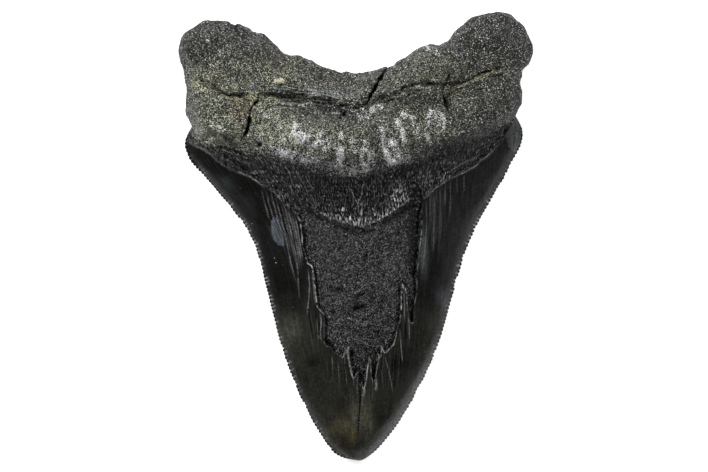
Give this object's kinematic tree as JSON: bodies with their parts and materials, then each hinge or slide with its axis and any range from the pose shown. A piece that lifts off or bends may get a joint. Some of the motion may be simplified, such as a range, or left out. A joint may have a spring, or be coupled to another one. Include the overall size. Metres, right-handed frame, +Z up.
{
  "type": "megalodon tooth",
  "caption": "Large fossil shark tooth lying on its flat labial face, with a broad two-lobed root, a dark bourlette and a serrated blade whose enamel is partly chipped away.",
  "frame": {"origin": "middle of the bounding box's lowest plane: the tooth lies on the surface z = 0", "axes": "+Y from the crown's tip towards the root, +Z up out of the domed lingual face, +X to the right when looking down on the lingual face with the root at the far side"},
  "size_m": [0.0902, 0.1144, 0.0229],
  "materials": {
    "fossil_tooth": "mineralised tooth: black glossy enamel on the blade, matt charcoal-grey granular root and bare dentine"
  },
  "bodies": {
    "root": {"tooth": "fossil_tooth"}
  },
  "joints": []
}
